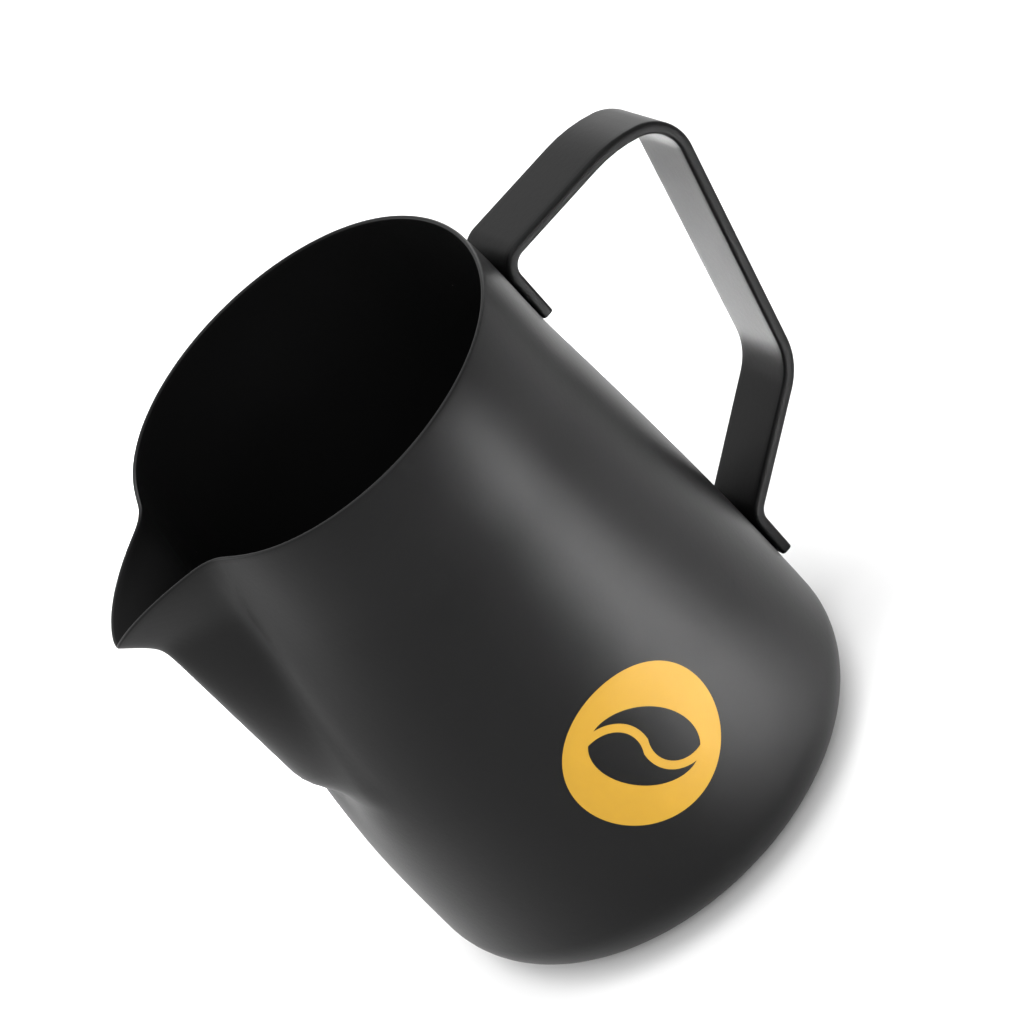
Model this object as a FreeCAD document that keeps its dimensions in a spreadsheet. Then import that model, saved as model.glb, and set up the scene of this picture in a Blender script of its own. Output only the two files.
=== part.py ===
import FreeCAD, Part
import math
import os
import Sketcher

V = FreeCAD.Vector

# Milk frothing pitcher, a drawn steel jug with a bent strap handle.
# Frame: +Z up, origin at the centre of the base on the resting plane,
# handle towards +X, spout towards -X, symmetric about the XZ plane. Millimetres.

doc = FreeCAD.newDocument("milk_pitcher")

SIZES = [
    # jug: wall, foot corner, belly and mouth
    ("wall_thickness", 0.8),
    ("base_ring_radius", 32.4),
    ("corner_radius", 12.0),
    ("belly_radius", 44.4),
    ("mouth_radius", 39.0),
    ("taper_power", 1.6),
    ("rim_height", 108.3),
    ("rim_tilt", 1.6),
    ("mouth_shift", 4.9),
    ("mouth_spread", 4.2),
    ("mouth_swell", 0.55),
    ("mouth_swell_angle", 24.0),
    ("mouth_swell_width", 8.8),
    ("neck_angle", 15.0),
    ("oval_start", 42.0),
    ("neck_start", 84.0),
    # raised panel in the middle of the base
    ("panel_radius", 28.0),
    ("panel_slope", 1.5),
    ("panel_rise", 1.2),
    # spout: upright ridge, flared tip, rounded lower end
    ("ridge_reach", 43.8),
    ("ridge_end_height", 59.9),
    ("flare_height", 94.6),
    ("flare_slope", 0.88),
    ("flare_softness", 1.0),
    ("tip_drop", 6.1),
    ("tip_spread", 8.7),
    ("crease_angle", 20.0),
    ("crease_open", 7.0),
    ("crease_open_start", 92.0),
    ("crease_open_rise", 16.0),
    ("crease_blend", 3.0),
    ("crease_blend_at_lip", 4.4),
    ("crease_blend_start", 85.0),
    ("crease_blend_rise", 20.0),
    ("nose_round", 0.13),
    ("nose_round_at_lip", 0.02),
    ("nose_change_start", 70.0),
    ("nose_change_rise", 32.0),
    ("ridge_fade", 0.031),
    ("ridge_fade_power", 2.3),
    # shallow hollow under the spout
    ("pinch_depth", 2.5),
    ("pinch_height", 53.0),
    ("pinch_tall", 12.3),
    ("pinch_wide", 11.0),
    # strap handle
    ("strap_thickness", 2.2),
    ("strap_width", 16.2),
    ("strap_foot_width", 14.6),
    ("strap_rounding", 0.7),
    ("trim_above", 3.0),
    ("trim_below", 1.0),
    ("trim_outside", 5.0),
    ("upper_foot_x", 41.25),
    ("upper_foot_end", 86.4),
    ("top_run_height", 99.2),
    ("foot_bend_radius", 3.8),
    ("crown_start", 63.9),
    ("crown_radius", 26.3),
    ("crown_turn", 22.0),
    ("shoulder_radius", 8.0),
    ("lower_bend_x", 68.6),
    ("lower_bend_z", 43.3),
    ("lower_bend_radius", 12.0),
    ("lower_foot_x", 45.35),
    ("lower_foot_end", 17.7),
    ("lower_foot_bend_z", 27.62),
    ("lower_foot_radius", 4.1),
    # printed disc
    ("print_radius", 14.4),
    ("print_height", 38.2),
    ("print_azimuth", 265.7),
    ("print_thickness", 0.1),
    ("bean_half_length", 10.4),
    ("bean_half_width", 6.9),
    ("bean_tilt", 35.0),
    ("groove_width", 1.5),
    ("groove_radius", 6.3),
]

sheet = doc.addObject("Spreadsheet::Sheet", "dims")
for row, (alias, value) in enumerate(SIZES, start=1):
    sheet.set("A%d" % row, alias)
    sheet.set("B%d" % row, str(value))
    sheet.setAlias("B%d" % row, alias)
doc.recompute()


def cell(alias):
    return float(getattr(sheet, alias))


wall = cell("wall_thickness")
ring_radius = cell("base_ring_radius")
corner = cell("corner_radius")
belly = cell("belly_radius")
mouth = cell("mouth_radius")
rim_height = cell("rim_height")


# ---------------------------------------------------------------- jug surface

def smooth_step(value):
    value = min(max(value, 0.0), 1.0)
    return value * value * (3.0 - 2.0 * value)


def smooth_max(first, second, blend):
    """The larger of two, with the corner between them rounded over the blend."""
    near = max(blend - abs(first - second), 0.0) / blend
    return max(first, second) + near ** 3 * blend / 6.0


def round_radius(z):
    """Radius of the plain jug, widest just above the foot corner."""
    rise = max(z - corner, 0.0) / (rim_height - corner)
    return belly - (belly - mouth) * rise ** cell("taper_power")


def spout_angle(theta):
    """Angle away from the spout's middle plane."""
    return abs(math.pi - theta % (2.0 * math.pi))


def rim_radius(theta):
    """Plan shape of the mouth, drawn in towards the spout and a little fuller beside its creases."""
    beside = math.degrees(spout_angle(theta)) - cell("mouth_swell_angle")
    swell = cell("mouth_swell") * math.exp(-(beside / cell("mouth_swell_width")) ** 2)
    oval = cell("mouth_shift") * math.cos(theta) - cell("mouth_spread") * math.cos(2.0 * theta)
    return mouth + oval + swell


def lip_height(theta):
    """The rim leans down a little towards the spout and dips at its tip."""
    away = math.degrees(spout_angle(theta))
    dip = math.exp(-(math.sqrt(away * away + 0.64) - 0.8) / cell("tip_spread"))
    return rim_height + cell("rim_tilt") * math.cos(theta) - cell("tip_drop") * dip


def ridge_reach(z):
    """Distance of the spout's ridge from the axis, in the middle plane."""
    softness = cell("flare_softness")
    above = (z - cell("flare_height")) / softness
    lifted = math.log1p(math.exp(min(above, 40.0))) if above < 40.0 else above
    below = max(cell("ridge_end_height") - z, 0.0)
    fade = cell("ridge_fade") * below ** cell("ridge_fade_power")
    return cell("ridge_reach") + cell("flare_slope") * softness * lifted - fade


def body_radius(theta, z):
    """The jug without its spout: round below, oval and drawn in at the mouth."""
    ovalness = smooth_step((z - cell("oval_start")) / (rim_height - cell("oval_start")))
    neck = smooth_step((z - cell("neck_start")) / (rim_height - cell("neck_start")))
    beside_handle = rim_radius(math.radians(cell("neck_angle")))
    radius = round_radius(z) + neck * (beside_handle - mouth) + ovalness * (rim_radius(theta) - beside_handle)
    across = radius * math.sin(min(spout_angle(theta), 0.5 * math.pi))
    pinch_up = (z - cell("pinch_height")) / cell("pinch_tall")
    pinch = math.exp(-pinch_up ** 2 - (across / cell("pinch_wide")) ** 2)
    return radius - cell("pinch_depth") * pinch


def outer_radius(theta, z):
    """The jug with its spout, two flanks that meet in a rounded ridge."""
    radius = body_radius(theta, z)
    away = spout_angle(theta)
    opening = smooth_step((z - cell("crease_open_start")) / cell("crease_open_rise"))
    crease = math.radians(cell("crease_angle") + cell("crease_open") * opening)
    below_ridge = 25.0
    if away > 2.0 * crease or z < cell("ridge_end_height") - below_ridge:
        return radius
    sharper = smooth_step((z - cell("nose_change_start")) / cell("nose_change_rise"))
    nose = cell("nose_round") + (cell("nose_round_at_lip") - cell("nose_round")) * sharper
    reach = ridge_reach(z)
    at_crease = body_radius(math.pi - crease, z)
    spread = math.sqrt(math.sin(crease) ** 2 + nose * nose) - nose
    least_slope = 0.15
    slope = max((reach / at_crease - math.cos(crease)) / spread, least_slope)
    offset = math.sqrt(math.sin(away) ** 2 + nose * nose) - nose
    flank = reach / (math.cos(away) + slope * offset)
    past = max(away - crease, 0.0)
    end_curve = 90.0
    softer = smooth_step((z - cell("crease_blend_start")) / cell("crease_blend_rise"))
    blend = cell("crease_blend") + (cell("crease_blend_at_lip") - cell("crease_blend")) * softer
    return smooth_max(radius, flank - end_curve * past * past, blend)


def wall_point(theta, along):
    """A point of the outside: along runs 0 to 1 round the foot corner and 1 to 2 up the wall."""
    if along <= 1.0:
        turn = 0.5 * math.pi * along
        radius = ring_radius + corner * math.sin(turn)
        z = corner * (1.0 - math.cos(turn))
    else:
        z = corner + (lip_height(theta) - corner) * (along - 1.0)
        radius = outer_radius(theta, z)
    return V(radius * math.cos(theta), radius * math.sin(theta), z)


def wall_normal(theta, along):
    if along < 0.999:
        turn = 0.5 * math.pi * along
        flat = math.sin(turn)
        return V(flat * math.cos(theta), flat * math.sin(theta), -math.cos(turn))
    step = 0.002
    low = max(along - step, 1.0)
    high = min(along + step, 2.0)
    up = wall_point(theta, high) - wall_point(theta, low)
    side = wall_point(theta + step, along) - wall_point(theta - step, along)
    normal = side.cross(up)
    return normal.normalize()


def angle_stations():
    """Half of the turn in wide steps, closer together round the spout, then mirrored."""
    half = [6.0 * k for k in range(24)]
    half += [141.0, 144.0, 147.0]
    half += [149.0 + 1.0 * k for k in range(31)]
    mirrored = [360.0 - a for a in half[1:]]
    return half + [180.0] + mirrored[::-1]


def height_stations():
    """Stations up the wall, closer together where the spout flares."""
    flare = 0.81
    corner_part = [k / 6.0 for k in range(6)]
    lower = [1.0 + flare * k / 26.0 for k in range(27)]
    upper = [1.0 + flare + (1.0 - flare) * k / 14.0 for k in range(1, 15)]
    return corner_part + lower + upper


def skin(offset):
    """Smooth closed surface through the stations, moved along the wall's normal by offset."""
    angles = [math.radians(a) for a in angle_stations()]
    heights = height_stations()
    turn = angles + [2.0 * math.pi]
    corner_length = 0.5 * math.pi * corner
    wall_length = rim_height - corner
    climb = [a * corner_length if a <= 1.0 else corner_length + (a - 1.0) * wall_length for a in heights]
    rows = []
    for along in heights:
        points = [wall_point(t, along) + wall_normal(t, along) * offset for t in angles]
        ring = Part.BSplineCurve()
        ring.interpolate(Points=points, PeriodicFlag=True, Parameters=turn)
        rows.append(ring)
    tracks = []
    for column in range(rows[0].NbPoles):
        track = Part.BSplineCurve()
        track.interpolate(Points=[ring.getPole(column + 1) for ring in rows], Parameters=climb)
        tracks.append(track)
    surface = Part.BSplineSurface()
    surface.buildFromPolesMultsKnots(
        [track.getPoles() for track in tracks],
        rows[0].getMultiplicities(), tracks[0].getMultiplicities(),
        rows[0].getKnots(), tracks[0].getKnots(),
        True, False, rows[0].Degree, tracks[0].Degree)
    return surface.toShape()


def end_wire(face, z_pick):
    """The closed border of a skin that lies nearest a height."""
    borders = [e for e in face.Edges if e.isClosed() and not e.isSeam(face)]
    borders.sort(key=lambda e: abs(e.BoundBox.Center.z - z_pick))
    return Part.Wire([borders[0]])


def disc_wire(radius, z):
    return Part.Wire([Part.makeCircle(radius, V(0, 0, z))])


def base_faces(border, radius, z):
    """A flat ring inside the border, a short slope and a raised panel."""
    slope = cell("panel_slope")
    rise = cell("panel_rise")
    outer_ring = disc_wire(radius + slope, z)
    inner_ring = disc_wire(radius, z + rise)
    flat = Part.makeFace([border, outer_ring], "Part::FaceMakerBullseye")
    cone = Part.makeLoft([outer_ring, inner_ring], False, True)
    panel = Part.Face(inner_ring)
    return flat.Faces + cone.Faces + [panel]


def closed_solid(faces):
    shell = Part.makeShell(faces)
    shell.sewShape()
    solid = Part.makeSolid(Part.Shell(shell.Faces))
    if solid.Volume < 0:
        solid.reverse()
    return solid


outside = skin(0.0)
inside = skin(-wall)
rim_outer = end_wire(outside, rim_height)
rim_inner = end_wire(inside, rim_height)
rim_face = Part.makeRuledSurface(rim_outer.Edges[0], rim_inner.Edges[0])
jug_faces = [outside, inside, rim_face]
jug_faces += base_faces(end_wire(outside, 0.0), cell("panel_radius"), 0.0)
jug_faces += base_faces(end_wire(inside, wall), cell("panel_radius") - 0.25 * wall, wall)

jug = doc.addObject("Part::Feature", "jug_body")
jug.Label = "jug_body"
jug.Shape = closed_solid(jug_faces)
jug.Placement = FreeCAD.Placement()


# ------------------------------------------------------------- strap handle

def origin_plane(body, role):
    return [f for f in body.Origin.OriginFeatures if f.Role == role][0]


def new_sketch(body, name, role):
    sketch = body.newObject("Sketcher::SketchObject", name)
    sketch.AttachmentSupport = (origin_plane(body, role), [""])
    sketch.MapMode = "FlatFace"
    return sketch


def bind(sketch, constraint, name, formula):
    """Add a driving dimension, name it and tie it to the sheet."""
    index = sketch.addConstraint(constraint)
    sketch.renameConstraint(index, name)
    sketch.setExpression("Constraints." + name, formula)


def line(start, end):
    return Part.LineSegment(V(start[0], start[1], 0), V(end[0], end[1], 0))


def arc(centre, radius, start, end):
    circle = Part.Circle(V(centre[0], centre[1], 0), V(0, 0, 1), radius)
    return Part.ArcOfCircle(circle, math.radians(start), math.radians(end))


def on_circle(centre, radius, angle):
    return (centre[0] + radius * math.cos(math.radians(angle)),
            centre[1] + radius * math.sin(math.radians(angle)))


strap = doc.addObject("PartDesign::Body", "strap_blank")
strap.Label = "strap_blank"
path = new_sketch(strap, "strap_path", "XZ_Plane")

foot_x = cell("upper_foot_x")
foot_end = cell("upper_foot_end")
top_z = cell("top_run_height")
bend = cell("foot_bend_radius")
crown_x = cell("crown_start")
crown = cell("crown_radius")
turn = cell("crown_turn")
shoulder = cell("shoulder_radius")
knee = (cell("lower_bend_x"), cell("lower_bend_z"))
knee_radius = cell("lower_bend_radius")
heel = (cell("lower_foot_x"), cell("lower_foot_bend_z"))
heel_radius = cell("lower_foot_radius")
heel_end = cell("lower_foot_end")

bend_centre = (foot_x + bend, top_z - bend)
crown_centre = (crown_x, top_z - crown)
crown_end = on_circle(crown_centre, crown, 90.0 - turn)
shoulder_centre = on_circle(crown_centre, crown - shoulder, 90.0 - turn)
to_knee = (knee[0] - shoulder_centre[0], knee[1] - shoulder_centre[1])
grip_normal = math.degrees(math.atan2(to_knee[1], to_knee[0]) + math.acos(shoulder / math.hypot(*to_knee)))
shoulder_end = on_circle(shoulder_centre, shoulder, grip_normal)
slant = math.degrees(math.atan2(knee[1] - heel[1], knee[0] - heel[0]))
knee_half = 0.5 * (grip_normal - (slant - 90.0))
knee_centre_gap = knee_radius / math.cos(math.radians(knee_half))
knee_centre = on_circle(knee, knee_centre_gap, 180.0 + 0.5 * (grip_normal + slant - 90.0))
heel_half = 0.5 * (90.0 - slant)
heel_centre_gap = heel_radius / math.cos(math.radians(heel_half))
heel_centre = on_circle(heel, heel_centre_gap, 0.5 * (180.0 + slant + 90.0) - 180.0)

path.addGeometry([
    line((foot_x, foot_end), (foot_x, top_z - bend)),
    arc(bend_centre, bend, 90.0, 180.0),
    line((foot_x + bend, top_z), (crown_x, top_z)),
    arc(crown_centre, crown, 90.0 - turn, 90.0),
    arc(shoulder_centre, shoulder, grip_normal, 90.0 - turn),
    line(shoulder_end, on_circle(knee_centre, knee_radius, grip_normal)),
    arc(knee_centre, knee_radius, slant - 90.0, grip_normal),
    line(on_circle(knee_centre, knee_radius, slant - 90.0),
         on_circle(heel_centre, heel_radius, slant + 90.0)),
    arc(heel_centre, heel_radius, slant + 90.0, 180.0),
    line((heel[0], heel_centre[1]), (heel[0], heel_end)),
], False)
knee_point = path.addGeometry(Part.Point(V(knee[0], knee[1], 0)), True)
heel_point = path.addGeometry(Part.Point(V(heel[0], heel[1], 0)), True)
for first, first_end, second, second_end in [
        (0, 2, 1, 2), (1, 1, 2, 1), (2, 2, 3, 2), (3, 1, 4, 2), (4, 1, 5, 1),
        (5, 2, 6, 2), (6, 1, 7, 1), (7, 2, 8, 1), (8, 2, 9, 1)]:
    path.addConstraint(Sketcher.Constraint("Tangent", first, first_end, second, second_end))
path.addConstraint(Sketcher.Constraint("Vertical", 0))
path.addConstraint(Sketcher.Constraint("Horizontal", 2))
path.addConstraint(Sketcher.Constraint("Vertical", 9))
path.addConstraint(Sketcher.Constraint("PointOnObject", knee_point, 1, 5))
path.addConstraint(Sketcher.Constraint("PointOnObject", knee_point, 1, 7))
path.addConstraint(Sketcher.Constraint("PointOnObject", heel_point, 1, 7))
for geometry, value, name in [(1, bend, "foot_bend_radius"), (3, crown, "crown_radius"),
                              (4, shoulder, "shoulder_radius"), (6, knee_radius, "lower_bend_radius"),
                              (8, heel_radius, "lower_foot_radius")]:
    bind(path, Sketcher.Constraint("Radius", geometry, value), name, "dims." + name)
for kind, geometry, end, value, name in [
        ("DistanceX", 0, 1, foot_x, "upper_foot_x"), ("DistanceY", 0, 1, foot_end, "upper_foot_end"),
        ("DistanceY", 2, 1, top_z, "top_run_height"), ("DistanceX", 2, 2, crown_x, "crown_start"),
        ("DistanceX", knee_point, 1, knee[0], "lower_bend_x"),
        ("DistanceY", knee_point, 1, knee[1], "lower_bend_z"),
        ("DistanceX", 9, 2, heel[0], "lower_foot_x"), ("DistanceY", 9, 2, heel_end, "lower_foot_end"),
        ("DistanceY", heel_point, 1, heel[1], "lower_foot_bend_z")]:
    bind(path, Sketcher.Constraint(kind, -1, 1, geometry, end, value), name, "dims." + name)
bind(path, Sketcher.Constraint("DistanceX", -1, 1, heel_point, 1, heel[0]), "heel_x", "dims.lower_foot_x")
bind(path, Sketcher.Constraint("Angle", 3, math.radians(turn)), "crown_turn", "dims.crown_turn * 1 deg")

blank = cell("strap_thickness")
width = cell("strap_width")
section = new_sketch(strap, "strap_section", "XY_Plane")
section.AttachmentOffset = FreeCAD.Placement(V(0, 0, foot_end), FreeCAD.Rotation())
section.setExpression("AttachmentOffset.Base.z", "dims.upper_foot_end")
corners = [(foot_x - 0.5 * blank, -0.5 * width), (foot_x + 0.5 * blank, -0.5 * width),
           (foot_x + 0.5 * blank, 0.5 * width), (foot_x - 0.5 * blank, 0.5 * width)]
section.addGeometry([line(corners[k], corners[(k + 1) % 4]) for k in range(4)], False)
for k in range(4):
    section.addConstraint(Sketcher.Constraint("Coincident", k, 2, (k + 1) % 4, 1))
for kind, geometry in [("Horizontal", 0), ("Vertical", 1), ("Horizontal", 2)]:
    section.addConstraint(Sketcher.Constraint(kind, geometry))
section.addConstraint(Sketcher.Constraint("Symmetric", 0, 1, 2, 2, -1))
bind(section, Sketcher.Constraint("DistanceX", 0, 1, 0, 2, blank), "thickness", "dims.strap_thickness")
bind(section, Sketcher.Constraint("DistanceY", 1, 1, 1, 2, width), "width", "dims.strap_width")
bind(section, Sketcher.Constraint("DistanceX", -1, 1, 0, 1, corners[0][0]), "wall_side",
     "dims.upper_foot_x - dims.strap_thickness / 2")
doc.recompute()

sweep = strap.newObject("PartDesign::AdditivePipe", "strap_sweep")
sweep.Profile = section
sweep.Spine = (path, [""])
doc.recompute()

# The strap narrows evenly from the top run to the lower foot.
narrow = cell("strap_foot_width")
taper = new_sketch(strap, "strap_taper", "YZ_Plane")
trim_top = top_z + cell("trim_above")
trim_foot = heel_end - cell("trim_below")
trim_side = 0.5 * width + cell("trim_outside")
taper_points = [(0.5 * width, trim_top), (trim_side, trim_top),
                (trim_side, trim_foot), (0.5 * narrow, trim_foot)]
taper.addGeometry([line(taper_points[k], taper_points[(k + 1) % 4]) for k in range(4)], False)
for k in range(4):
    taper.addConstraint(Sketcher.Constraint("Coincident", k, 2, (k + 1) % 4, 1))
side_formula = "dims.strap_width / 2 + dims.trim_outside"
top_formula = "dims.top_run_height + dims.trim_above"
foot_formula = "dims.lower_foot_end - dims.trim_below"
for name, k, across, up in [
        ("upper", 0, "dims.strap_width / 2", top_formula),
        ("upper_outer", 1, side_formula, top_formula),
        ("lower_outer", 2, side_formula, foot_formula),
        ("lower", 3, "dims.strap_foot_width / 2", foot_formula)]:
    bind(taper, Sketcher.Constraint("DistanceX", -1, 1, k, 1, taper_points[k][0]), name + "_y", across)
    bind(taper, Sketcher.Constraint("DistanceY", -1, 1, k, 1, taper_points[k][1]), name + "_z", up)
doc.recompute()
trim = strap.newObject("PartDesign::Pocket", "strap_trim")
trim.Profile = taper
trim.Type = "ThroughAll"
trim.SideType = "Two sides"
trim.Type2 = "ThroughAll"
doc.recompute()
mirror = strap.newObject("PartDesign::Mirrored", "strap_trim_other_side")
mirror.Originals = [trim]
mirror.MirrorPlane = (origin_plane(strap, "XZ_Plane"), [""])
strap.Tip = mirror
doc.recompute()


def on_strap_side(edge):
    """Long border edges of the two side faces, without the short ones at the cut ends."""
    heights = [v.Point.z for v in edge.Vertexes]
    at_end = any(all(abs(z - end) < 0.01 for z in heights) for end in (foot_end, heel_end))
    clear = all(abs(v.Point.y) > 0.4 * narrow for v in edge.Vertexes)
    return clear and not at_end


long_edges = ["Edge%d" % (k + 1) for k, edge in enumerate(mirror.Shape.Edges) if on_strap_side(edge)]
rounding = strap.newObject("PartDesign::Fillet", "strap_edges")
rounding.Base = (mirror, long_edges)
rounding.Radius = cell("strap_rounding")
rounding.setExpression("Radius", "dims.strap_rounding")
strap.Tip = rounding
doc.recompute()

# Both feet are hollowed to the curve of the wall that they are welded to.
handle = doc.addObject("Part::Cut", "handle_strap")
handle.Label = "handle_strap"
handle.Base = strap
handle.Tool = jug
doc.recompute()


# ------------------------------------------------------------- printed disc

ink = cell("print_thickness")
ink_face = skin(ink)
ink_top = Part.makeRuledSurface(end_wire(ink_face, rim_height).Edges[0], rim_outer.Edges[0])
ink_foot = Part.makeRuledSurface(end_wire(ink_face, 0.0).Edges[0], end_wire(outside, 0.0).Edges[0])
coat = doc.addObject("Part::Feature", "ink_layer")
coat.Label = "ink_layer"
coat.Shape = closed_solid([ink_face, outside, ink_top, ink_foot])
coat.Placement = FreeCAD.Placement()

azimuth = cell("print_azimuth")
facing = FreeCAD.Rotation(V(0, 0, 1), azimuth) * FreeCAD.Rotation(V(0, 1, 0), 90.0)
outward = V(math.cos(math.radians(azimuth)), math.sin(math.radians(azimuth)), 0)
start_radius = 20.0
cut_length = 50.0
print_origin = outward * start_radius + V(0, 0, cell("print_height"))
print_frame = FreeCAD.Placement(print_origin, facing)


def print_place(x, y, spin=0.0):
    """A place on the flat drawing of the mark, x down and y sideways."""
    return print_frame * FreeCAD.Placement(V(x, y, 0), FreeCAD.Rotation(V(0, 0, 1), spin))


def print_cylinder(name, radius_formula, place, angle=360.0):
    cylinder = doc.addObject("Part::Cylinder", name)
    cylinder.setExpression("Radius", radius_formula)
    cylinder.Height = cut_length
    cylinder.Angle = angle
    cylinder.Placement = place
    return cylinder


def boolean(kind, name, base, tool):
    result = doc.addObject(kind, name)
    result.Label = name
    result.Base = base
    result.Tool = tool
    return result


# The disc carries a plain coffee bean, left unprinted, with a printed groove along it.
disc = print_cylinder("print_disc", "dims.print_radius", print_place(0, 0))
bean_place = print_place(0, 0, cell("bean_tilt"))
ellipse = doc.addObject("Part::Ellipse", "bean_outline")
ellipse.setExpression("MajorRadius", "dims.bean_half_length")
ellipse.setExpression("MinorRadius", "dims.bean_half_width")
ellipse.Placement = bean_place
bean = doc.addObject("Part::Extrusion", "bean_solid")
bean.Base = ellipse
bean.DirMode = "Custom"
bean.Dir = outward
bean.LengthFwd = cut_length
bean.Solid = True

# Two equal arcs, one on each side of the long axis, meet in the middle of the bean.
half_chord = 0.5 * cell("bean_half_length")
groove_radius = cell("groove_radius")
half_span = math.degrees(math.asin(half_chord / groove_radius))
sag = math.sqrt(groove_radius ** 2 - half_chord ** 2)
grooves = []
for name, side in [("groove_upper", -1.0), ("groove_lower", 1.0)]:
    start = 90.0 * -side - half_span
    centre = bean_place * FreeCAD.Placement(V(side * half_chord, side * sag, 0), FreeCAD.Rotation())
    sector = centre * FreeCAD.Placement(V(), FreeCAD.Rotation(V(0, 0, 1), start))
    outer_arc = print_cylinder(name + "_outer", "dims.groove_radius + dims.groove_width / 2",
                               sector, 2.0 * half_span)
    inner_arc = print_cylinder(name + "_inner", "dims.groove_radius - dims.groove_width / 2", centre)
    grooves.append(boolean("Part::Cut", name, outer_arc, inner_arc))
groove = boolean("Part::Fuse", "bean_groove", grooves[0], grooves[1])
bean_halves = boolean("Part::Cut", "bean_halves", bean, groove)
disc_open = boolean("Part::Cut", "print_outline", disc, bean_halves)
badge = boolean("Part::Common", "badge_print", coat, disc_open)
doc.recompute()


# ------------------------------------------------------------- check and write

for item in doc.Objects:
    if "Invalid" in item.State or "Error" in item.State:
        raise RuntimeError("%s did not recompute: %s" % (item.Name, item.State))

os.makedirs("parts", exist_ok=True)
for node in (jug, handle, badge):
    shape = node.Shape
    if shape.isNull() or not shape.isValid():
        raise RuntimeError("%s has no valid shape" % node.Label)
    print("%s solids %d volume %.1f box %s" % (node.Label, len(shape.Solids), shape.Volume, shape.BoundBox))
    shape.exportStep("parts/%s.step" % node.Label)
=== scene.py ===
import math

import bpy
from mathutils import Matrix, Vector


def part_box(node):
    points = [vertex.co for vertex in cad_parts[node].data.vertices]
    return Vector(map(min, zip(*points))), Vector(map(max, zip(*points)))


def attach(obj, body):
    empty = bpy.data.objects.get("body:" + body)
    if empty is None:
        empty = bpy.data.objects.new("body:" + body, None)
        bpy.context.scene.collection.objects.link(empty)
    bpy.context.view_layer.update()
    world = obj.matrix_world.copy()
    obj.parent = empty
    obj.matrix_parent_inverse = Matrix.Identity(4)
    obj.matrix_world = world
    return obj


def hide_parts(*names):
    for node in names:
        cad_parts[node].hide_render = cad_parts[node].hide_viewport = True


# Milk frothing pitcher: drawn steel jug, bent strap handle, printed disc.
# The frame is the CAD model's: +Z up, handle towards +X, spout towards -X, metres.

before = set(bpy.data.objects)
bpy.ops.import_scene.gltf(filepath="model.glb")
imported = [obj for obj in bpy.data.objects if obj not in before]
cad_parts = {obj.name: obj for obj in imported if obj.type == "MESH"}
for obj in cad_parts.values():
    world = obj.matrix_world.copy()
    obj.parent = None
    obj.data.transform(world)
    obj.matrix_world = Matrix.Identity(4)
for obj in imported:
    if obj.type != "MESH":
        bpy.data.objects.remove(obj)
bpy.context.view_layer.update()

MM = 0.001
SPOUT = math.pi

# ---------------------------------------------------------------- sizes, in millimetres

jug_low, jug_high = [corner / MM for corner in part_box("jug_body")]
strap_low, strap_high = [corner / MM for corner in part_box("handle_strap")]

WALL = 0.8
CORNER_RADIUS = 12.0
BASE_RING_RADIUS = 32.4
BELLY_RADIUS = BASE_RING_RADIUS + CORNER_RADIUS
MOUTH_RADIUS = 39.0
TAPER_POWER = 1.6
RIM_TILT = 1.6
RIM_HEIGHT = jug_high.z - RIM_TILT
MOUTH_SHIFT = 4.9
MOUTH_SPREAD = 4.2
MOUTH_SWELL = 0.55
MOUTH_SWELL_ANGLE = 24.0
MOUTH_SWELL_WIDTH = 8.8
NECK_ANGLE = math.radians(15.0)
OVAL_START = 42.0
NECK_START = 84.0
PANEL_RADIUS = 28.0
PANEL_SLOPE = 1.5
PANEL_RISE = 1.2
PANEL_ROUNDING = 0.6
FLAT_RING_GAP = 1.2
BASE_MIDDLE = 0.02
BASE_INNER_RING = 4.0
RIM_EDGE = 0.38

RIDGE_REACH = 43.8
RIDGE_END_HEIGHT = 59.9
RIDGE_FADE = 0.031
RIDGE_FADE_POWER = 2.3
RIDGE_FOOT = 25.0
FLARE_HEIGHT = 94.6
FLARE_SLOPE = 0.88
FLARE_SOFTNESS = 1.0
TIP_DROP = 6.1
TIP_SPREAD = 8.7
TIP_ROUNDING = 0.8
CREASE_ANGLE = 20.0
CREASE_OPEN = 7.0
CREASE_OPEN_START = 92.0
CREASE_OPEN_RISE = 16.0
CREASE_BLEND = 3.0
CREASE_BLEND_AT_LIP = 4.4
CREASE_BLEND_START = 85.0
CREASE_BLEND_RISE = 20.0
NOSE_ROUND = 0.13
NOSE_ROUND_AT_LIP = 0.02
NOSE_CHANGE_START = 70.0
NOSE_CHANGE_RISE = 32.0
LEAST_SLOPE = 0.15
FLANK_END_CURVE = 90.0
PINCH_DEPTH = 2.5
PINCH_HEIGHT = 53.0
PINCH_TALL = 12.3
PINCH_WIDE = 11.0

STRAP_THICKNESS = 2.2
STRAP_WIDTH = 16.2
STRAP_FOOT_WIDTH = 14.6
STRAP_ROUNDING = 0.7
UPPER_FOOT_X = 41.25
UPPER_FOOT_END = 86.4
TOP_RUN_HEIGHT = strap_high.z - 0.5 * STRAP_THICKNESS
FOOT_BEND_RADIUS = 3.8
CROWN_START = 63.9
CROWN_RADIUS = 26.3
CROWN_TURN = 22.0
SHOULDER_RADIUS = 8.0
LOWER_BEND = (68.6, 43.3)
LOWER_BEND_RADIUS = 12.0
LOWER_FOOT = (45.35, 27.62)
LOWER_FOOT_RADIUS = 4.1
LOWER_FOOT_END = strap_low.z
TAPER_ABOVE_RUN = 3.0
TAPER_BELOW_FOOT = 1.0
STRAP_END_EDGE = 0.3
SHARP_ANGLE = math.radians(50.0)
RUN_STEP = 2.0
BEND_STEP = 5.0

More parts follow.
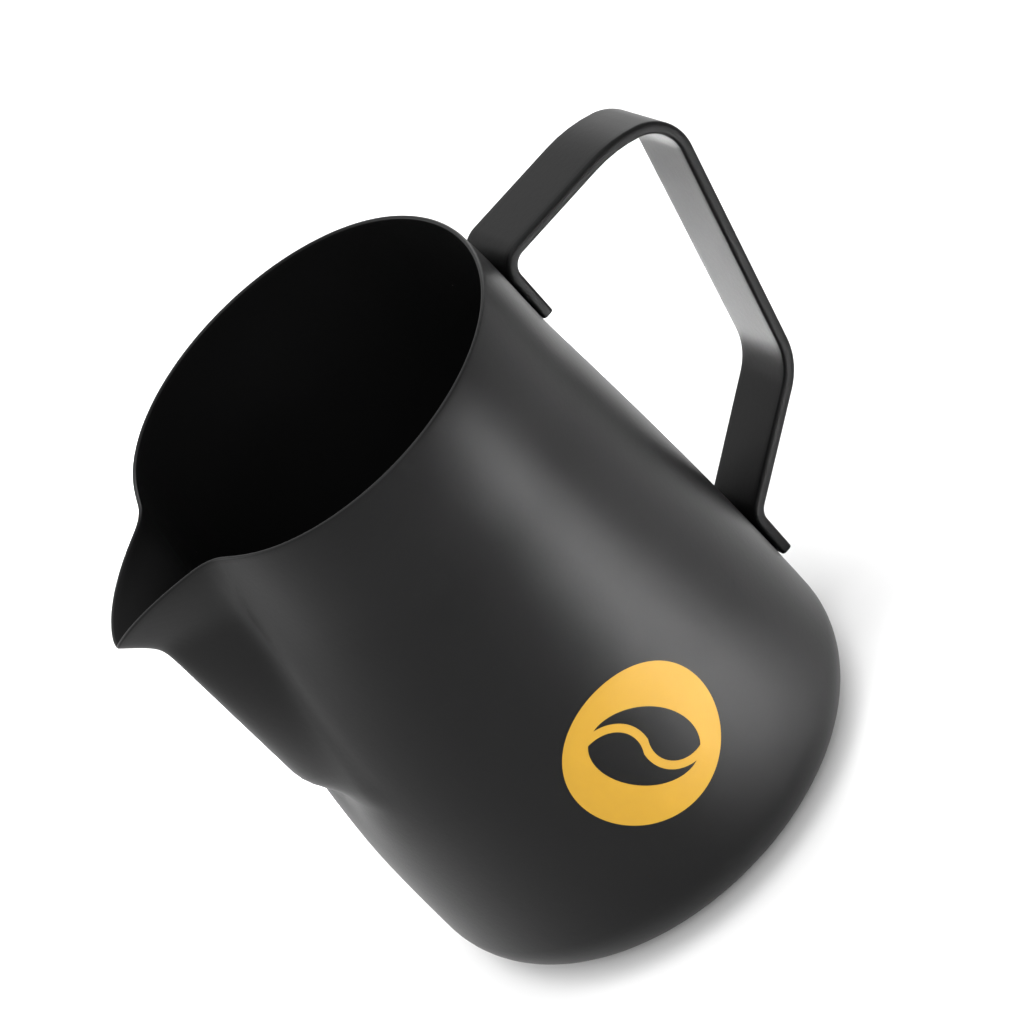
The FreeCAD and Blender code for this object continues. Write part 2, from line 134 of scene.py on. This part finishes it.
PRINT_RADIUS = 14.4
PRINT_HEIGHT = 38.2
PRINT_AZIMUTH = math.radians(265.7)
PRINT_THICKNESS = 0.03
BEAN_HALF_LENGTH = 10.4
BEAN_HALF_WIDTH = 6.9
BEAN_TILT = math.radians(35.0)
GROOVE_WIDTH = 1.5
GROOVE_RADIUS = 6.3
GROOVE_THICKNESS = 0.024
GROOVE_OVERLAP = 1.03

# Stations as (from, to, how many): degrees from the handle to the spout, and parts of the wall's height.
ROUND_STATIONS = ((0, 144, 72), (144, 174, 60), (174, 180, 24))
WALL_STATIONS = ((0.0, 0.45, 16), (0.45, 0.8, 16), (0.8, 1.0, 26))
CORNER_STATIONS = 14
RIM_STATIONS = 4
PANEL_STATIONS = 6
SLOPE_STATIONS = 12
STRAP_EDGE_STATIONS = 6
STRAP_FACE_STATIONS = 12
STRAP_END_TURNS = (0.0, 30.0, 60.0, 90.0)
PRINT_STATIONS = 144
PRINT_RINGS = 12
GROOVE_STATIONS = 60
NORMAL_STEP = 0.15
SETTLING_ROUNDS = 6


# ---------------------------------------------------------------- jug surface

def smooth_step(value):
    value = min(max(value, 0.0), 1.0)
    return value * value * (3.0 - 2.0 * value)


def smooth_max(first, second, blend):
    """The larger of two, with the corner between them rounded over the blend."""
    near = max(blend - abs(first - second), 0.0) / blend
    return max(first, second) + near ** 3 * blend / 6.0


def round_radius(z):
    """Radius of the plain jug, widest just above the foot corner."""
    rise = max(z - CORNER_RADIUS, 0.0) / (RIM_HEIGHT - CORNER_RADIUS)
    return BELLY_RADIUS - (BELLY_RADIUS - MOUTH_RADIUS) * rise ** TAPER_POWER


def spout_angle(theta):
    """Angle away from the spout's middle plane."""
    return abs(math.pi - theta % (2.0 * math.pi))


def rim_radius(theta):
    """Plan shape of the mouth, drawn in towards the spout and a little fuller beside its creases."""
    beside = math.degrees(spout_angle(theta)) - MOUTH_SWELL_ANGLE
    swell = MOUTH_SWELL * math.exp(-(beside / MOUTH_SWELL_WIDTH) ** 2)
    oval = MOUTH_SHIFT * math.cos(theta) - MOUTH_SPREAD * math.cos(2.0 * theta)
    return MOUTH_RADIUS + oval + swell


def lip_height(theta):
    """The rim leans down a little towards the spout and dips at its tip."""
    away = math.degrees(spout_angle(theta))
    dip = math.exp(-(math.hypot(away, TIP_ROUNDING) - TIP_ROUNDING) / TIP_SPREAD)
    return RIM_HEIGHT + RIM_TILT * math.cos(theta) - TIP_DROP * dip


def ridge_reach(z):
    """Distance of the spout's ridge from the axis, in the middle plane."""
    lifted = math.log1p(math.exp((z - FLARE_HEIGHT) / FLARE_SOFTNESS))
    below = max(RIDGE_END_HEIGHT - z, 0.0)
    return RIDGE_REACH + FLARE_SLOPE * FLARE_SOFTNESS * lifted - RIDGE_FADE * below ** RIDGE_FADE_POWER


def body_radius(theta, z):
    """The jug without its spout: round below, oval and drawn in at the mouth."""
    ovalness = smooth_step((z - OVAL_START) / (RIM_HEIGHT - OVAL_START))
    neck = smooth_step((z - NECK_START) / (RIM_HEIGHT - NECK_START))
    beside_handle = rim_radius(NECK_ANGLE)
    radius = round_radius(z) + neck * (beside_handle - MOUTH_RADIUS)
    radius += ovalness * (rim_radius(theta) - beside_handle)
    across = radius * math.sin(min(spout_angle(theta), 0.5 * math.pi))
    pinch = math.exp(-((z - PINCH_HEIGHT) / PINCH_TALL) ** 2 - (across / PINCH_WIDE) ** 2)
    return radius - PINCH_DEPTH * pinch


def outer_radius(theta, z):
    """The jug with its spout, two flanks that meet in a rounded ridge."""
    radius = body_radius(theta, z)
    away = spout_angle(theta)
    opening = smooth_step((z - CREASE_OPEN_START) / CREASE_OPEN_RISE)
    crease = math.radians(CREASE_ANGLE + CREASE_OPEN * opening)
    if away > 2.0 * crease or z < RIDGE_END_HEIGHT - RIDGE_FOOT:
        return radius
    sharper = smooth_step((z - NOSE_CHANGE_START) / NOSE_CHANGE_RISE)
    nose = NOSE_ROUND + (NOSE_ROUND_AT_LIP - NOSE_ROUND) * sharper
    reach = ridge_reach(z)
    at_crease = body_radius(SPOUT - crease, z)
    spread = math.sqrt(math.sin(crease) ** 2 + nose * nose) - nose
    slope = max((reach / at_crease - math.cos(crease)) / spread, LEAST_SLOPE)
    offset = math.sqrt(math.sin(away) ** 2 + nose * nose) - nose
    flank = reach / (math.cos(away) + slope * offset)
    past = max(away - crease, 0.0)
    softer = smooth_step((z - CREASE_BLEND_START) / CREASE_BLEND_RISE)
    blend = CREASE_BLEND + (CREASE_BLEND_AT_LIP - CREASE_BLEND) * softer
    return smooth_max(radius, flank - FLANK_END_CURVE * past * past, blend)


def wall_point(theta, z):
    """A point of the outside, also round the foot corner."""
    if z < CORNER_RADIUS:
        radius = BASE_RING_RADIUS + math.sqrt(CORNER_RADIUS ** 2 - (CORNER_RADIUS - z) ** 2)
    else:
        radius = outer_radius(theta, z)
    return Vector((radius * math.cos(theta), radius * math.sin(theta), z))


def wall_normal(theta, z):
    """The outward normal, from steps up the wall and round it."""
    low = max(z - NORMAL_STEP, CORNER_RADIUS)
    up = wall_point(theta, z + NORMAL_STEP) - wall_point(theta, low)
    turn = NORMAL_STEP / BELLY_RADIUS
    side = wall_point(theta + turn, z) - wall_point(theta - turn, z)
    return side.cross(up).normalized()


# ---------------------------------------------------------------- mesh helpers

def spaced(start, end, count):
    """Even stations from start up to, but without, end."""
    return [start + (end - start) * k / count for k in range(count)]


def new_piece(name, points, faces, material):
    """A mesh object, smooth shaded, from points in millimetres."""
    mesh = bpy.data.meshes.new(name)
    mesh.from_pydata([Vector(p) * MM for p in points], [], faces)
    mesh.validate()
    mesh.shade_smooth()
    mesh.set_sharp_from_angle(angle=SHARP_ANGLE)
    mesh.materials.append(material)
    piece = bpy.data.objects.new(name, mesh)
    bpy.context.scene.collection.objects.link(piece)
    return piece


def grid_faces(rows, columns):
    """Quads between rows of points; each row closes on itself."""
    faces = []
    for row in range(rows - 1):
        for k in range(columns):
            across = (k + 1) % columns
            low = row * columns
            high = low + columns
            faces.append((low + k, low + across, high + across, high + k))
    return faces


# ---------------------------------------------------------------- jug

def jug_angles():
    """Stations round the jug, closer together at the spout's flanks and ridge."""
    half = [angle for start, end, count in ROUND_STATIONS for angle in spaced(start, end, count)]
    return [math.radians(a) for a in half + [360.0 - a for a in [180.0] + half[:0:-1]]]


def wall_heights():
    """Stations up the wall as parts of the way from the foot corner to the lip."""
    return [part for start, end, count in WALL_STATIONS for part in spaced(start, end, count)]


def base_profile(z):
    """Radii and heights of the base panel, its slope and the flat ring, from the middle outwards."""
    outer = PANEL_RADIUS + PANEL_SLOPE
    flat = outer + FLAT_RING_GAP
    inner = PANEL_RADIUS - PANEL_ROUNDING
    profile = [(BASE_MIDDLE, z + PANEL_RISE)]
    profile += [(r, z + PANEL_RISE) for r in spaced(BASE_INNER_RING, inner, PANEL_STATIONS)]
    for part in spaced(0.0, 1.0, SLOPE_STATIONS) + [1.0]:
        radius = inner + (PANEL_SLOPE + 2.0 * PANEL_ROUNDING) * part
        profile.append((radius, z + PANEL_RISE * (1.0 - smooth_step(part))))
    profile += [(flat + (BASE_RING_RADIUS - flat) * part, z) for part in (0.0, 0.5)]
    return profile


def jug_column(theta):
    """Points from the middle of the base, up the outside, over the rim and down the inside."""
    direction = Vector((math.cos(theta), math.sin(theta), 0.0))
    lift = Vector((0.0, 0.0, 1.0))
    column = [direction * r + lift * z for r, z in base_profile(0.0)]
    corner_turns = [math.radians(a) for a in spaced(0.0, 90.0, CORNER_STATIONS)]
    for turn in corner_turns:
        column.append(direction * (BASE_RING_RADIUS + CORNER_RADIUS * math.sin(turn))
                      + lift * CORNER_RADIUS * (1.0 - math.cos(turn)))
    lip = lip_height(theta)
    top = lip - RIM_EDGE
    climb = [CORNER_RADIUS + (top - CORNER_RADIUS) * part for part in wall_heights()]
    outside = [(wall_point(theta, z), wall_normal(theta, z)) for z in climb]
    column += [point for point, normal in outside]

    edge = wall_point(theta, top)
    normal = wall_normal(theta, top)
    along = (wall_point(theta, lip) - edge).normalized()
    edge_turns = [math.radians(a) for a in spaced(0.0, 90.0, RIM_STATIONS) + [90.0]]
    rounding = [(RIM_EDGE * (1.0 - math.cos(a)), RIM_EDGE * math.sin(a)) for a in edge_turns]
    column += [edge - normal * inward + along * up for inward, up in rounding]
    column += [edge - normal * (WALL - inward) + along * up for inward, up in rounding[::-1]]

    column += [point - normal * WALL for point, normal in outside[::-1]]
    inner_corner = CORNER_RADIUS - WALL
    for turn in corner_turns[::-1]:
        column.append(direction * (BASE_RING_RADIUS + inner_corner * math.sin(turn))
                      + lift * (CORNER_RADIUS - inner_corner * math.cos(turn)))
    column += [direction * r + lift * z for r, z in base_profile(WALL)[::-1]]
    return column


def build_jug(material):
    """The jug as one closed skin, outside and inside, with small caps in the middle of the base."""
    columns = [jug_column(theta) for theta in jug_angles()]
    count = len(columns)
    rows = len(columns[0])
    points = [columns[k][row] for row in range(rows) for k in range(count)]
    faces = grid_faces(rows, count)
    faces.append(tuple(range(count))[::-1])
    faces.append(tuple((rows - 1) * count + k for k in range(count)))
    return new_piece("jug_shell", points, faces, material)


# ---------------------------------------------------------------- strap handle

def strap_path():
    """The strap's middle line in the XZ plane, as places with the run's heading in degrees."""
    crown_centre = Vector((CROWN_START, TOP_RUN_HEIGHT - CROWN_RADIUS))
    down_to_shoulder = math.radians(90.0 - CROWN_TURN)
    from_crown = Vector((math.cos(down_to_shoulder), math.sin(down_to_shoulder)))
    shoulder_centre = crown_centre + (CROWN_RADIUS - SHOULDER_RADIUS) * from_crown
    knee = Vector(LOWER_BEND)
    heel = Vector(LOWER_FOOT)
    to_knee = knee - shoulder_centre
    grip = math.degrees(math.atan2(to_knee.y, to_knee.x) + math.acos(SHOULDER_RADIUS / to_knee.length)) - 90.0
    slant = math.degrees(math.atan2(heel.y - knee.y, heel.x - knee.x))
    knee_tangent = LOWER_BEND_RADIUS * math.tan(math.radians(0.5 * (grip - slant)))
    heel_tangent = LOWER_FOOT_RADIUS * math.tan(math.radians(0.5 * (-90.0 - slant)))

    path = [(Vector((UPPER_FOOT_X, UPPER_FOOT_END)), 90.0)]

    def run_to(target):
        start, heading = path[-1]
        steps = max(2, round((target - start).length / RUN_STEP))
        path.extend((start.lerp(target, (k + 1) / steps), heading) for k in range(steps))

    def bend_to(heading, radius):
        start, before = path[-1]
        side = 1.0 if heading > before else -1.0
        inward = math.radians(before + 90.0 * side)
        centre = start + radius * Vector((math.cos(inward), math.sin(inward)))
        steps = max(3, round(abs(heading - before) / BEND_STEP))
        for k in range(steps):
            now = before + (heading - before) * (k + 1) / steps
            outward = math.radians(now - 90.0 * side)
            path.append((centre + radius * Vector((math.cos(outward), math.sin(outward))), now))

    def toward(corner, heading, tangent):
        return corner - tangent * Vector((math.cos(math.radians(heading)), math.sin(math.radians(heading))))

    run_to(Vector((UPPER_FOOT_X, TOP_RUN_HEIGHT - FOOT_BEND_RADIUS)))
    bend_to(0.0, FOOT_BEND_RADIUS)
    run_to(Vector((CROWN_START, TOP_RUN_HEIGHT)))
    bend_to(-CROWN_TURN, CROWN_RADIUS)
    bend_to(grip, SHOULDER_RADIUS)
    run_to(toward(knee, grip, knee_tangent))
    bend_to(slant, LOWER_BEND_RADIUS)
    run_to(toward(heel, slant, heel_tangent))
    bend_to(-90.0, LOWER_FOOT_RADIUS)
    run_to(Vector((LOWER_FOOT[0], LOWER_FOOT_END)))
    return path


def strap_half_width(z):
    """The strap narrows evenly from the top run to the lower foot."""
    top = TOP_RUN_HEIGHT + TAPER_ABOVE_RUN
    foot = LOWER_FOOT_END - TAPER_BELOW_FOOT
    return 0.5 * (STRAP_FOOT_WIDTH + (STRAP_WIDTH - STRAP_FOOT_WIDTH) * (z - foot) / (top - foot))


def strap_section(half_width, inset):
    """Outline across the run, as places along the strap's normal and along Y."""
    half = 0.5 * STRAP_THICKNESS - inset
    flat = half_width - STRAP_ROUNDING
    rounding = STRAP_ROUNDING - inset
    outline = []
    for out, side, start in ((1, 1, 0.0), (-1, 1, 90.0), (-1, -1, 180.0), (1, -1, 270.0)):
        for turn in spaced(start, start + 90.0, STRAP_EDGE_STATIONS) + [start + 90.0]:
            a = math.radians(turn)
            outline.append((out * (half - rounding) + rounding * math.cos(a),
                            side * flat + rounding * math.sin(a)))
        if out != side:
            outline += [(out * half, side * flat * (1.0 - 2.0 * part))
                        for part in spaced(0.0, 1.0, STRAP_FACE_STATIONS)[1:]]
    return outline[::-1]


def rest_on_wall(point):
    """A foot's point that would be inside the wall moves out to the wall's surface."""
    theta = math.atan2(point.y, point.x)
    radius = outer_radius(theta, point.z) if point.z < jug_high.z else 0.0
    if math.hypot(point.x, point.y) < radius:
        point.x = math.sqrt(radius * radius - point.y * point.y)
    return point


def build_strap(material):
    """The strap swept along its middle line, with its ends' edges rounded and its feet laid on the wall."""
    path = strap_path()
    rows = [(place, heading, 0.0) for place, heading in path[1:-1]]
    rounding = [math.radians(a) for a in STRAP_END_TURNS]
    for (place, heading), inward in ((path[0], 1.0), (path[-1], -1.0)):
        along = Vector((math.cos(math.radians(heading)), math.sin(math.radians(heading)))) * inward
        edge = [(place + along * STRAP_END_EDGE * (1.0 - math.cos(a)), heading,
                 STRAP_END_EDGE * (1.0 - math.sin(a))) for a in rounding]
        rows = edge + rows if inward > 0.0 else rows + edge[::-1]
    points = []
    for place, heading, inset in rows:
        out = math.radians(heading + 90.0)
        normal = Vector((math.cos(out), 0.0, math.sin(out)))
        for along_normal, y in strap_section(strap_half_width(place.y), inset):
            points.append(rest_on_wall(Vector((place.x, y, place.y)) + normal * along_normal))
    count = len(points) // len(rows)
    faces = grid_faces(len(rows), count)
    faces.append(tuple(range(count))[::-1])
    faces.append(tuple((len(rows) - 1) * count + k for k in range(count)))
    return new_piece("strap", points, faces, material)


# ---------------------------------------------------------------- printed disc

def on_print(down, across, height):
    """A place of the flat drawing laid on the wall, raised by a height."""
    z = PRINT_HEIGHT - down
    theta = PRINT_AZIMUTH
    for _ in range(SETTLING_ROUNDS):
        theta = PRINT_AZIMUTH + math.asin(across / outer_radius(theta, z))
    return wall_point(theta, z) + wall_normal(theta, z) * height


def in_bean(along, across):
    """From the bean's own axes to the drawing's."""
    return (along * math.cos(BEAN_TILT) - across * math.sin(BEAN_TILT),
            along * math.sin(BEAN_TILT) + across * math.cos(BEAN_TILT))


def ink_strip(name, sections, material, endless):
    """Cross-sections of flat places with their heights, laid on the wall as one closed body of ink."""
    points = [on_print(down, across, height) for section in sections for down, across, height in section]
    count = len(sections[0])
    last = len(points) - count
    faces = grid_faces(len(sections), count)
    if endless:
        faces += [(last + k, last + (k + 1) % count, (k + 1) % count, k) for k in range(count)]
    else:
        faces.append(tuple(range(count))[::-1])
        faces.append(tuple(last + k for k in range(count)))
    return new_piece(name, points, faces, material)


def ring_sections():
    """Cuts from the bean's outline to the disc's edge, with a thin side at both borders."""
    sections = []
    top = [(part, PRINT_THICKNESS) for part in spaced(0.0, 1.0, PRINT_RINGS) + [1.0]]
    parts = [(0.0, 0.0)] + top + [(1.0, 0.0)]
    for turn in spaced(0.0, 360.0, PRINT_STATIONS):
        a = math.radians(turn)
        inner = in_bean(BEAN_HALF_LENGTH * math.cos(a), BEAN_HALF_WIDTH * math.sin(a))
        outer = (PRINT_RADIUS * math.cos(a + BEAN_TILT), PRINT_RADIUS * math.sin(a + BEAN_TILT))
        sections.append([(inner[0] + (outer[0] - inner[0]) * part,
                          inner[1] + (outer[1] - inner[1]) * part, height) for part, height in parts])
    return sections


def groove_sections():
    """The line along the bean: two equal arcs that meet in its middle and end just under the ring."""
    chord = 0.5 * BEAN_HALF_LENGTH
    sag = math.sqrt(GROOVE_RADIUS ** 2 - chord ** 2)
    sections = []
    for part in spaced(-GROOVE_OVERLAP, GROOVE_OVERLAP, GROOVE_STATIONS) + [GROOVE_OVERLAP]:
        along = part * BEAN_HALF_LENGTH
        side = 1.0 if part > 0.0 else -1.0
        from_middle = along - side * chord
        depth = math.sqrt(GROOVE_RADIUS ** 2 - from_middle ** 2)
        centre = side * (sag - depth)
        half_width = 0.5 * GROOVE_WIDTH * math.hypot(1.0, from_middle / depth)
        stations = [(half_width, 0.0), (half_width, GROOVE_THICKNESS), (0.0, GROOVE_THICKNESS),
                    (-half_width, GROOVE_THICKNESS), (-half_width, 0.0)]
        sections.append([in_bean(along, centre + across) + (height,) for across, height in stations])
    return sections


# ---------------------------------------------------------------- materials

JUG_TONES = ((0.0030, 0.0030, 0.0031, 1.0), (0.0042, 0.0042, 0.0043, 1.0))
STRAP_TONES = ((0.0026, 0.0026, 0.0027, 1.0), (0.0038, 0.0038, 0.0039, 1.0))
AMBER_TONES = ((0.385, 0.211, 0.007, 1.0), (0.41, 0.227, 0.010, 1.0))
FLOOR_TONES = ((0.80, 0.80, 0.80, 1.0), (0.83, 0.83, 0.83, 1.0))
DUST = (0.16, 0.15, 0.14, 1.0)
SPECK_SIZE = 0.022
SPECK_SHARE = 0.06
JUG_SPECULAR = 0.13
STRAP_SPECULAR = 0.09
INK_SPECULAR = 0.35
FLOOR_SPECULAR = 0.1
FLOOR_ROUGHNESS = 0.9


def new_material(name):
    """A material with its node tree's helper: node(kind, inputs, settings) adds one node."""
    material = bpy.data.materials.new(name)
    material.use_nodes = True
    tree = material.node_tree
    shader = tree.nodes["Principled BSDF"]

    def node(kind, inputs=None, **settings):
        made = tree.nodes.new("ShaderNode" + kind)
        for key, value in settings.items():
            setattr(made, key, value)
        for key, value in (inputs or {}).items():
            if isinstance(value, bpy.types.NodeSocket):
                tree.links.new(value, made.inputs[key])
            else:
                made.inputs[key].default_value = value
        return made

    def link(source, socket):
        tree.links.new(source, shader.inputs[socket])

    return material, shader, node, link


def remap(node, value, low, high):
    """A value from 0 to 1 turned into one from low to high."""
    return node("MapRange", {"Value": value, "To Min": low, "To Max": high}).outputs["Result"]


def black_coating(name, tones, specular):
    """Matt black lacquer: fine orange peel, grain, slightly uneven gloss and a few specks of dust."""
    material, shader, node, link = new_material(name)
    place = node("TexCoord").outputs["Object"]
    cloud = node("TexNoise", {"Vector": place, "Scale": 45.0, "Detail": 4.0}).outputs["Fac"]
    grain = node("TexNoise", {"Vector": place, "Scale": 5200.0, "Detail": 2.0}).outputs["Fac"]
    peel = node("TexNoise", {"Vector": place, "Scale": 900.0, "Detail": 2.0}).outputs["Fac"]

    tone = node("MixRGB", {"Fac": cloud, "Color1": tones[0], "Color2": tones[1]}).outputs["Color"]
    cells = node("TexVoronoi", {"Vector": place, "Scale": 190.0})
    near = node("Math", {0: cells.outputs["Distance"], 1: SPECK_SIZE}, operation="LESS_THAN").outputs["Value"]
    chance = node("SeparateColor", {"Color": cells.outputs["Color"]}).outputs["Red"]
    few = node("Math", {0: chance, 1: SPECK_SHARE}, operation="LESS_THAN").outputs["Value"]
    speck = node("Math", {0: near, 1: few}, operation="MULTIPLY").outputs["Value"]
    dusty = node("MixRGB", {"Fac": speck, "Color1": tone, "Color2": DUST}).outputs["Color"]
    link(dusty, "Base Color")

    gloss = remap(node, cloud, 0.35, 0.40)
    fine = remap(node, grain, -0.03, 0.03)
    link(node("Math", {0: gloss, 1: fine}, operation="ADD").outputs["Value"], "Roughness")
    shader.inputs["Specular IOR Level"].default_value = specular

    rough = node("Bump", {"Height": grain, "Strength": 0.35, "Distance": 0.00002})
    waves = node("Bump", {"Height": peel, "Strength": 0.3, "Distance": 0.00005,
                          "Normal": rough.outputs["Normal"]})
    link(waves.outputs["Normal"], "Normal")
    return material


def amber_ink():
    """Screen-printed ink: even amber with a faint mottle and a fine mesh grain."""
    material, shader, node, link = new_material("amber_ink_print")
    place = node("TexCoord").outputs["Object"]
    mottle = node("TexNoise", {"Vector": place, "Scale": 420.0, "Detail": 3.0}).outputs["Fac"]
    grain = node("TexNoise", {"Vector": place, "Scale": 4200.0, "Detail": 1.0}).outputs["Fac"]
    tone = node("MixRGB", {"Fac": mottle, "Color1": AMBER_TONES[0], "Color2": AMBER_TONES[1]})
    link(tone.outputs["Color"], "Base Color")
    link(remap(node, mottle, 0.42, 0.5), "Roughness")
    shader.inputs["Specular IOR Level"].default_value = INK_SPECULAR
    bump = node("Bump", {"Height": grain, "Strength": 0.3, "Distance": 0.00001})
    link(bump.outputs["Normal"], "Normal")
    return material


def pale_floor():
    """Matt white paper with a faint fibre."""
    material, shader, node, link = new_material("floor_paper")
    place = node("TexCoord").outputs["Object"]
    fibre = node("TexNoise", {"Vector": place, "Scale": 60.0, "Detail": 3.0}).outputs["Fac"]
    tone = node("MixRGB", {"Fac": fibre, "Color1": FLOOR_TONES[0], "Color2": FLOOR_TONES[1]})
    link(tone.outputs["Color"], "Base Color")
    shader.inputs["Roughness"].default_value = FLOOR_ROUGHNESS
    shader.inputs["Specular IOR Level"].default_value = FLOOR_SPECULAR
    return material


# ---------------------------------------------------------------- pieces

coating = black_coating("jug_coating", JUG_TONES, JUG_SPECULAR)
strap_coating = black_coating("strap_coating", STRAP_TONES, STRAP_SPECULAR)
ink = amber_ink()

jug = build_jug(coating)
strap = build_strap(strap_coating)
disc = ink_strip("print_disc", ring_sections(), ink, True)
groove = ink_strip("print_groove", groove_sections(), ink, False)

for piece, node_name, slot in (
        (jug, "jug_body", "black_coating"),
        (strap, "handle_strap", "black_coating_handle"),
        (disc, "badge_print", "amber_ink"),
        (groove, "badge_print", "amber_ink")):
    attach(piece, "root")
    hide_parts(node_name)


# ---------------------------------------------------------------- floor, light and camera

FLOOR_HALF = 3.0

floor_mesh = bpy.data.meshes.new("floor")
floor_mesh.from_pydata([(-FLOOR_HALF, -FLOOR_HALF, 0.0), (FLOOR_HALF, -FLOOR_HALF, 0.0),
                        (FLOOR_HALF, FLOOR_HALF, 0.0), (-FLOOR_HALF, FLOOR_HALF, 0.0)], [], [(0, 1, 2, 3)])
floor_mesh.materials.append(pale_floor())
floor = bpy.data.objects.new("floor", floor_mesh)
bpy.context.scene.collection.objects.link(floor)


def soft_light(name, place, aim, size, power, spread=180.0, turn=0.0):
    """A rectangular soft box that looks from a place towards an aim, turned about that line."""
    lamp = bpy.data.lights.new(name, "AREA")
    lamp.shape = "RECTANGLE"
    lamp.size = size[0]
    lamp.size_y = size[1]
    lamp.energy = power
    lamp.spread = math.radians(spread)
    light = bpy.data.objects.new(name, lamp)
    light.location = place
    facing = (Vector(aim) - Vector(place)).to_track_quat("-Z", "Y").to_matrix()
    light.rotation_euler = (facing @ Matrix.Rotation(math.radians(turn), 3, "Z")).to_euler()
    light.visible_camera = False
    bpy.context.scene.collection.objects.link(light)


FLOOR_AIM = (0.0, 0.0, 0.03)
SIDE_BOX = (0.8, 0.6)
soft_light("overhead", (0.0, 0.0, 1.2), FLOOR_AIM, (1.0, 1.0), power=9.5)
soft_light("front_high", (-0.2, -1.1, 0.9), FLOOR_AIM, SIDE_BOX, power=6.0)
soft_light("right_back", (0.9, 0.8, 0.5), FLOOR_AIM, SIDE_BOX, power=3.5)
soft_light("left_back", (-0.9, 0.8, 0.5), FLOOR_AIM, SIDE_BOX, power=3.2)
# Two strips that brighten the floor beside the jug, which its sides mirror as soft upright bands.
STRIP = (0.18, 0.07)
STRIP_SPREAD = 25.0
soft_light("front_strip", (0.090, -0.138, 0.15), (0.090, -0.138, 0.0), STRIP, power=0.65,
           spread=STRIP_SPREAD, turn=-49.0)
soft_light("back_strip", (0.020, 0.165, 0.15), (0.020, 0.165, 0.0), STRIP, power=0.45,
           spread=STRIP_SPREAD, turn=83.0)

WORLD_STRENGTH = 1.1
WORLD_COLOUR = (1.0, 1.0, 1.0, 1.0)

world = bpy.data.worlds.new("studio")
world.use_nodes = True
world.node_tree.nodes["Background"].inputs["Color"].default_value = WORLD_COLOUR
world.node_tree.nodes["Background"].inputs["Strength"].default_value = WORLD_STRENGTH
bpy.context.scene.world = world
bpy.context.scene.view_settings.view_transform = "Standard"

CAMERA_PLACE = Vector((-0.07181, -0.50199, 0.35659))
CAMERA_AIM = Vector((0.01497, 0.00096, 0.06103))
CAMERA_ROLL = math.radians(-43.25)

camera_data = bpy.data.cameras.new("camera")
camera_data.lens = 119.53
camera_data.sensor_width = 36.0
camera_data.clip_start = 0.01
camera = bpy.data.objects.new("camera", camera_data)
level = (CAMERA_AIM - CAMERA_PLACE).to_track_quat("-Z", "Y").to_matrix().to_4x4()
camera.matrix_world = Matrix.Translation(CAMERA_PLACE) @ level @ Matrix.Rotation(CAMERA_ROLL, 4, "Z")
bpy.context.scene.collection.objects.link(camera)
bpy.context.scene.camera = camera
